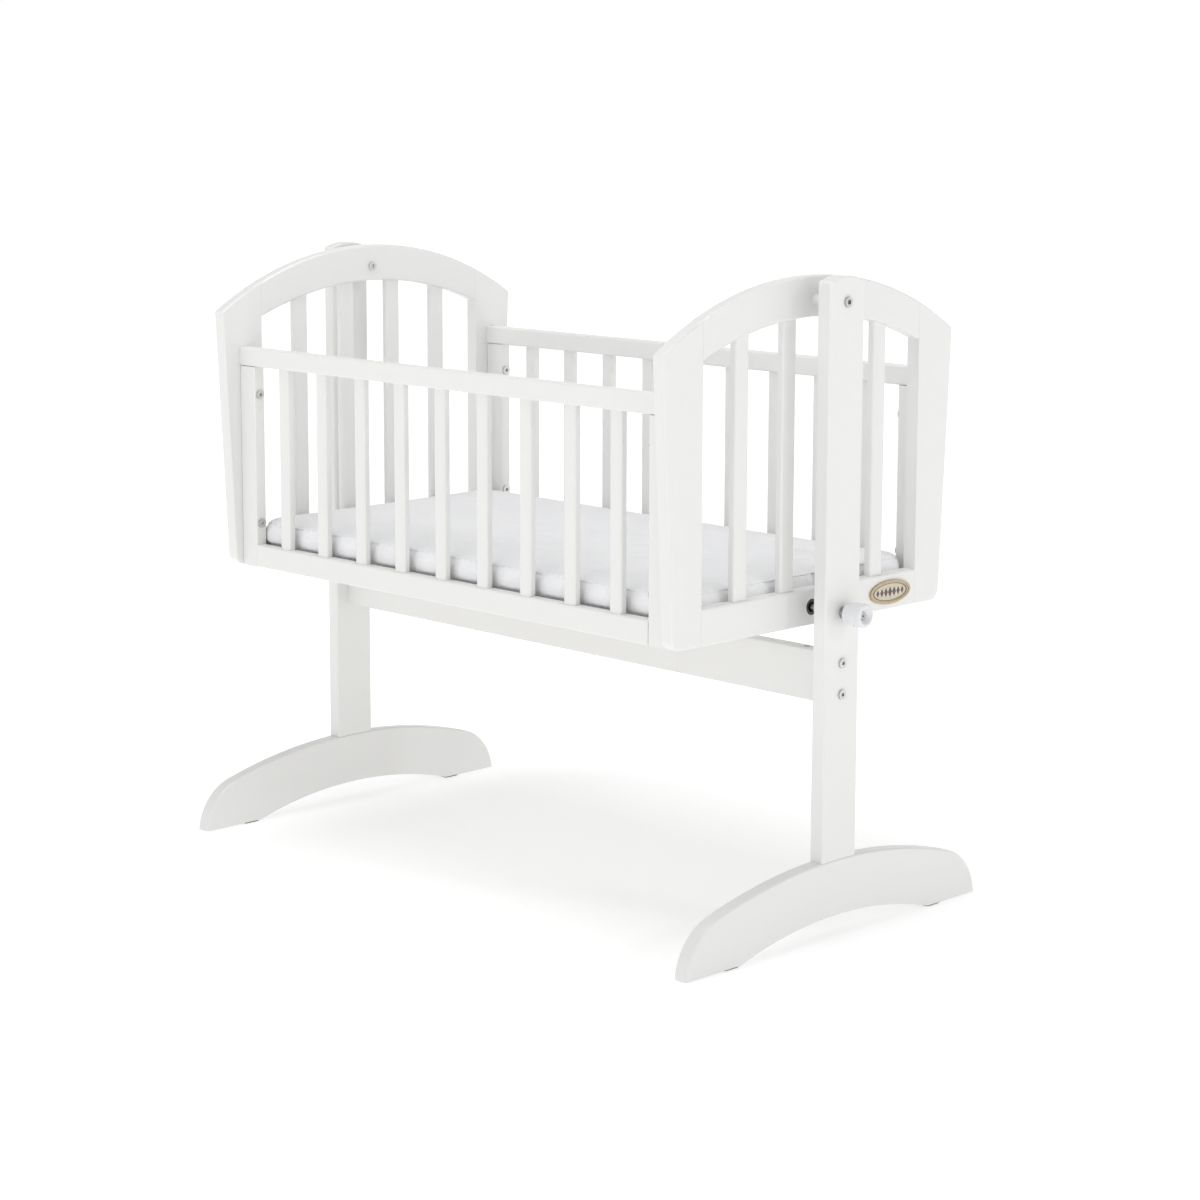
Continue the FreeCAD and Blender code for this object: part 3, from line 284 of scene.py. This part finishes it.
def dress_all():
    for node in NODES:
        if node.startswith(("foot_left", "foot_right", "post_", "stretcher", "end_", "side_")):
            dress(WOOD["Z" if "_slats_" in node else grain_axis(node)], node)
    dress(BEECH["X"], "end_dowels", "side_dowels", "base_batten_front", "base_batten_rear")
    dress(BOARD, "base_board")
    dress(NICKEL, "stretcher_bolts", "side_bolts", "pivot_bolts", "pivot_nuts", "stretcher_barrel_nuts",
          "side_inserts", "foot_screws", "batten_screws", "lock_pin", "lock_bush_post", "knob_screw")
    dress(DARK_PLASTIC, "foot_glides", "lock_bush_rail")
    dress(WHITE_PLASTIC, "pivot_bushes", "pivot_spacers")
    dress(KNOB, "lock_knob")
    dress(BRASS, "badge_rim")
    low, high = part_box("badge_plate")
    middle, half = (low + high) / 2, (high - low) / 2
    dress(badge_enamel("badge_enamel", middle, half.y, half.z), "badge_plate")


# ---- the mattress -------------------------------------------------------------

EDGE_RADIUS = 17 * MM
CORNER_RADIUS = 40 * MM
CORNER_PARTS = 8
SEAM_INSET = EDGE_RADIUS * (1 - math.sqrt(0.5))
PIPING_RADIUS = 1.1 * MM
PIPING_SIDES = 10
# the pad before it is filled, and the cloth simulation
SHRINK = 3.0 * MM
VOXEL = 6 * MM
CLOTH_FRAMES = 20
PIN_REACH = 7 * MM
CAP = 6.0 * MM
# hollows over the top, puckers along the seams
HOLLOW = 1.3 * MM
RIPPLE = 0.5 * MM
HOLLOW_FADE = 25 * MM
PUCKER = 0.45 * MM
PUCKER_PITCH = 13 * MM
PUCKER_BAND = 6 * MM
# the sides against the slats
TOUCH = 1.0 * MM
SWELL = 6.0 * MM
SWELL_START = 5 * MM
SWELL_FADE = 20 * MM
SWELL_DEPTH = 22 * MM
SLAT_BREAK = 20 * MM


def seam_path(low, high, height, inset, step=12 * MM):
    """Points round the mattress at one height: a rectangle with rounded corners."""
    radius = CORNER_RADIUS - inset
    half = Vector(((high.x - low.x) / 2 - inset, (high.y - low.y) / 2 - inset))
    middle = Vector(((high.x + low.x) / 2, (high.y + low.y) / 2))
    points = []
    for turn, (sx, sy) in enumerate(((1, 1), (-1, 1), (-1, -1), (1, -1))):
        centre = Vector((sx * (half.x - radius), sy * (half.y - radius)))
        for part in range(CORNER_PARTS + 1):
            angle = math.radians(90 * turn + 90 * part / CORNER_PARTS)
            points.append(centre + radius * Vector((math.cos(angle), math.sin(angle))))
    filled = []
    for start, end in zip(points, points[1:] + points[:1]):
        count = max(1, round((end - start).length / step))
        filled += [start.lerp(end, part / count) for part in range(count)]
    return [Vector((p.x + middle.x, p.y + middle.y, height)) for p in filled]


def ring_distance(points, path):
    """Distance of each point from a closed path of short straight runs."""
    best = np.full(len(points), 1e9)
    for start, end in zip(path, path[1:] + path[:1]):
        a, run = np.array(start), np.array(end - start)
        along = np.clip(((points - a) @ run) / (run @ run), 0, 1)
        best = np.minimum(best, np.linalg.norm(points - a - along[:, None] * run, axis=1))
    return best


def coordinates(mesh):
    flat = np.empty(len(mesh.vertices) * 3)
    mesh.vertices.foreach_get("co", flat)
    return flat.reshape(-1, 3)


def remeshed_pad(low, high):
    """The mattress's CAD solid, a little smaller, as an even closed mesh."""
    mesh = NODES["mattress"].data.copy()
    mesh.name = "mattress_cover"
    points = coordinates(mesh)
    middle = (np.array(low) + np.array(high)) / 2
    half = (np.array(high) - np.array(low)) / 2
    shrink = 1 - np.array([SHRINK, SHRINK, SHRINK / 2]) / half
    points = middle + (points - middle) * shrink
    mesh.vertices.foreach_set("co", points.ravel())
    pad = bpy.data.objects.new("mattress_cover", mesh)
    bpy.context.scene.collection.objects.link(pad)
    remesh = pad.modifiers.new("even", "REMESH")
    remesh.mode = "VOXEL"
    remesh.voxel_size = VOXEL
    apply_modifiers(pad)
    return pad


def apply_modifiers(obj):
    graph = bpy.context.evaluated_depsgraph_get()
    graph.update()
    mesh = bpy.data.meshes.new_from_object(obj.evaluated_get(graph))
    obj.modifiers.clear()
    old, obj.data = obj.data, mesh
    bpy.data.meshes.remove(old)


def inflate(pad, seams, low):
    """Cloth under pressure, held at its seams and where it lies on the board."""
    rest = coordinates(pad.data)
    hold = np.zeros(len(rest))
    for path in seams:
        hold = np.maximum(hold, np.clip(1.4 - ring_distance(rest, path) / PIN_REACH, 0, 1))
    hold[rest[:, 2] < low.z + SHRINK] = 1.0
    pins = pad.vertex_groups.new(name="held")
    for number, weight in enumerate(hold):
        if weight > 0:
            pins.add([number], float(weight), "REPLACE")
    cloth = pad.modifiers.new("fill", "CLOTH")
    cloth.settings.quality = 6
    cloth.settings.mass = 0.25
    cloth.settings.tension_stiffness = 8
    cloth.settings.compression_stiffness = 8
    cloth.settings.shear_stiffness = 4
    cloth.settings.bending_stiffness = 0.4
    cloth.settings.use_pressure = True
    cloth.settings.uniform_pressure_force = 4.0
    cloth.settings.vertex_group_mass = "held"
    cloth.settings.effector_weights.gravity = 0
    cloth.point_cache.frame_start, cloth.point_cache.frame_end = 1, CLOTH_FRAMES
    for number in range(1, CLOTH_FRAMES + 1):
        bpy.context.scene.frame_set(number)
    graph = bpy.context.evaluated_depsgraph_get()
    moved = coordinates(pad.evaluated_get(graph).to_mesh()) - rest
    pad.modifiers.clear()
    pad.vertex_groups.clear()
    bpy.context.scene.frame_set(1)
    length = np.linalg.norm(moved, axis=1)
    scale = CAP * np.tanh(length / CAP) / np.maximum(length, 1e-9)
    pad.data.vertices.foreach_set("co", (rest + moved * scale[:, None]).ravel())
    pad.data.update()


def settle(pad, seams, low, high):
    """After the last subdivision: soft hollows over the top and puckers along the seams."""
    points = coordinates(pad.data)
    middle = (low + high) / 2
    near = np.minimum(*[ring_distance(points, path) for path in seams])
    lift = np.zeros(len(points))
    top = points[:, 2] > middle.z
    for number in np.nonzero(top)[0]:
        place = Vector(points[number])
        broad = noise.noise(Vector((place.x * 5.5, place.y * 7.0, 3.1)))
        fine = noise.noise(Vector((place.x * 17.0, place.y * 21.0, 8.4)))
        lift[number] = HOLLOW * broad + RIPPLE * fine
    fade = np.clip(near / HOLLOW_FADE, 0, 1)
    points[:, 2] += lift * fade
    normals = np.empty(len(points) * 3)
    pad.data.vertices.foreach_get("normal", normals)
    normals = normals.reshape(-1, 3)
    angle = np.arctan2(points[:, 1] - middle.y, points[:, 0] - middle.x)
    run = np.where(np.abs(np.cos(angle)) > 0.9, points[:, 1], points[:, 0])
    pucker = np.sin(run / PUCKER_PITCH * 2 * math.pi + 2.2 * np.sin(run * 31)) * PUCKER
    band = np.exp(-((near - PUCKER_BAND) / PUCKER_BAND) ** 2)
    above_board = points[:, 2] > low.z + 3 * MM
    points += normals * (pucker * band * above_board)[:, None]
    points[:, 2] = np.maximum(points[:, 2], low.z)
    pad.data.vertices.foreach_set("co", points.ravel())
    pad.data.update()


def gaps_between(slats, axis, low, high):
    """The open runs between a row of slats along one axis, between two limits."""
    marks = np.sort(coordinates(NODES[slats].data)[:, axis])
    breaks = np.nonzero(np.diff(marks) > SLAT_BREAK)[0]
    solids = []
    first = 0
    for stop in [*breaks, len(marks) - 1]:
        solids.append((marks[first], marks[stop]))
        first = stop + 1
    edges = [low] + [edge for solid in solids for edge in solid] + [high]
    return list(zip(edges[::2], edges[1::2]))


def press_through(pad, low, high):
    """The soft sides lie against the slats and swell a little into the gaps between them."""
    points = coordinates(pad.data)
    rail_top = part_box("side_bottom_rail_front")[1].z
    above = np.clip((points[:, 2] - rail_top + MM) / SWELL_START, 0, 1)
    below = np.clip((high.z - points[:, 2]) / SWELL_FADE, 0, 1)
    level = above * np.sqrt(below)
    for slats, run, out, sign in (("side_slats_front", 0, 1, -1), ("side_slats_rear", 0, 1, 1),
                                  ("end_slats_left", 1, 0, -1), ("end_slats_right", 1, 0, 1)):
        face = high[out] if sign > 0 else low[out]
        depth = 1 - np.clip(np.abs(points[:, out] - face) / SWELL_DEPTH, 0, 1)
        swell = np.zeros(len(points))
        for start, end in gaps_between(slats, run, low[run], high[run]):
            part = np.clip((points[:, run] - start) / max(end - start, MM), 0, 1)
            swell = np.maximum(swell, np.sin(math.pi * part) ** 0.7)
        points[:, out] += sign * (TOUCH + SWELL * swell) * level * depth
    pad.data.vertices.foreach_set("co", points.ravel())
    pad.data.update()


def piping(name, path, body_mesh):
    """A fabric-covered cord sewn round a seam, lying on the cover's surface."""
    tree = BVHTree.FromPolygons(
        [v.co for v in body_mesh.vertices], [p.vertices for p in body_mesh.polygons])
    spine = []
    for place in path:
        found = tree.find_nearest(place)
        spine.append(found[0] + found[1] * PIPING_RADIUS * 0.15)
    count, sides = len(spine), PIPING_SIDES
    smooth = [(spine[i - 1] + spine[i] * 2 + spine[(i + 1) % count]) / 4 for i in range(count)]
    mesh = bmesh.new()
    rings = []
    for number, centre in enumerate(smooth):
        ahead = (smooth[(number + 1) % count] - smooth[number - 1]).normalized()
        side = ahead.cross(Vector((0, 0, 1))).normalized()
        up = side.cross(ahead)
        rings.append([
            mesh.verts.new(centre + PIPING_RADIUS * (
                side * math.cos(2 * math.pi * k / sides) + up * math.sin(2 * math.pi * k / sides)))
            for k in range(sides)
        ])
    for ring, after in zip(rings, rings[1:] + rings[:1]):
        for k in range(sides):
            face = mesh.faces.new((ring[k], after[k], after[(k + 1) % sides], ring[(k + 1) % sides]))
            face.smooth = True
    bmesh.ops.recalc_face_normals(mesh, faces=mesh.faces)
    data = bpy.data.meshes.new(name)
    mesh.to_mesh(data)
    mesh.free()
    cord = bpy.data.objects.new(name, data)
    bpy.context.scene.collection.objects.link(cord)
    data.materials.append(TICKING)
    return cord


def make_mattress():
    low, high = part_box("mattress")
    pad = remeshed_pad(low, high)
    seams = [seam_path(low, high, height, SEAM_INSET)
             for height in (high.z - SEAM_INSET, low.z + SEAM_INSET)]
    inflate(pad, seams, low)
    subdivide = pad.modifiers.new("smooth", "SUBSURF")
    subdivide.levels = subdivide.render_levels = 1
    apply_modifiers(pad)
    settle(pad, seams, low, high)
    press_through(pad, low, high)
    for polygon in pad.data.polygons:
        polygon.use_smooth = True
    pad.data.materials.clear()
    pad.data.materials.append(TICKING)
    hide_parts("mattress")
    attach(pad, "crib")
    cord = piping("mattress_piping", seams[0], pad.data)
    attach(cord, "crib")


# ---- floor, light and camera --------------------------------------------------

SENSOR = 36.0
FOCAL_PIXELS = 2827.0
IMAGE_PIXELS = 1200
CAMERA_AT = Vector((2.8507, -2.7951, 1.1406))
CAMERA_AZIMUTH = 46.145
CAMERA_ELEVATION = 8.957
CAMERA_SHIFT = (0.04, -0.07)

# strength at the horizon and overhead, and the heights on the unit sphere between which it falls
WALL_LIGHT = (1.02, 0.46)
WALL_FALL = (0.22, 0.45)
# the floor's own glow, which lights the crib from below: weaker by the crib, a painted shade round it, and
# stronger farther out; and the distances between which it grows
FLOOR_GLOW = (0.42, 0.74)
GLOW_REACH = (0.5, 1.2)
FLOOR_HALF = 40.0
AIM = Vector((0, 0, 0.45))
# name, watts, width in metres, place
LAMPS = [
    ("key", 22, 0.5, Vector((5.2, 1.4, 3.0))),
    ("low", 8, 1.6, Vector((5.6, -1.6, 0.3))),
    ("overhead", 52, 2.6, Vector((0.0, -0.5, 3.6))),
    ("fill", 8, 2.2, Vector((0.6, -4.2, 1.6))),
]


def make_floor():
    mesh = bpy.data.meshes.new("floor")
    corners = [(x * FLOOR_HALF, y * FLOOR_HALF, 0) for x, y in ((-1, -1), (1, -1), (1, 1), (-1, 1))]
    mesh.from_pydata(corners, [], [(0, 1, 2, 3)])
    floor = bpy.data.objects.new("floor", mesh)
    bpy.context.scene.collection.objects.link(floor)
    look = Look("floor_white", (0.70, 0.70, 0.70), 0.9, Specular_IOR_Level=0.1,
                Emission_Color=(1, 1, 1, 1))
    # The floor glows by itself, lighting the crib from below; the glow is weaker by the crib, which paints
    # shade on the floor round it.
    distance = look.nodes.new("ShaderNodeVectorMath")
    distance.operation = "LENGTH"
    look.link(look.place, distance.inputs[0])
    glow = look.fit(distance.outputs["Value"], *GLOW_REACH, *FLOOR_GLOW)
    look.link(glow, look.shader.inputs["Emission Strength"])
    mesh.materials.append(look.material)


def area_light(name, power, size, at):
    data = bpy.data.lights.new(name, "AREA")
    data.shape = "DISK"
    data.size = size
    data.energy = power
    lamp = bpy.data.objects.new(name, data)
    bpy.context.scene.collection.objects.link(lamp)
    lamp.location = at
    lamp.rotation_euler = (AIM - at).to_track_quat("-Z", "Y").to_euler()


def make_light():
    """An even white room: softbox overhead, fill in front, key and low lamp at the right."""
    bpy.context.scene.view_settings.view_transform = "Standard"
    world = bpy.data.worlds.new("studio")
    bpy.context.scene.world = world
    world.use_nodes = True
    nodes, links = world.node_tree.nodes, world.node_tree.links
    background = nodes["Background"]
    background.inputs["Color"].default_value = (1.0, 1.0, 1.0, 1)
    split = nodes.new("ShaderNodeSeparateXYZ")
    links.new(nodes.new("ShaderNodeTexCoord").outputs["Generated"], split.inputs[0])
    fall = nodes.new("ShaderNodeMapRange")
    for socket, amount in zip(list(fall.inputs)[1:5], (*WALL_FALL, *WALL_LIGHT)):
        socket.default_value = amount
    links.new(split.outputs["Z"], fall.inputs[0])
    links.new(fall.outputs[0], background.inputs["Strength"])
    for lamp in LAMPS:
        area_light(*lamp)


def make_camera():
    data = bpy.data.cameras.new("camera")
    data.sensor_width = SENSOR
    data.lens = FOCAL_PIXELS / IMAGE_PIXELS * SENSOR
    data.shift_x, data.shift_y = CAMERA_SHIFT
    data.clip_start, data.clip_end = 0.1, 200
    camera = bpy.data.objects.new("camera", data)
    bpy.context.scene.collection.objects.link(camera)
    azimuth, elevation = math.radians(CAMERA_AZIMUTH), math.radians(CAMERA_ELEVATION)
    back = Vector((math.sin(azimuth) * math.cos(elevation),
                   -math.cos(azimuth) * math.cos(elevation), math.sin(elevation)))
    camera.location = CAMERA_AT
    camera.rotation_euler = (-back).to_track_quat("-Z", "Y").to_euler()
    bpy.context.scene.camera = camera


dress_all()
make_mattress()
make_floor()
make_light()
make_camera()
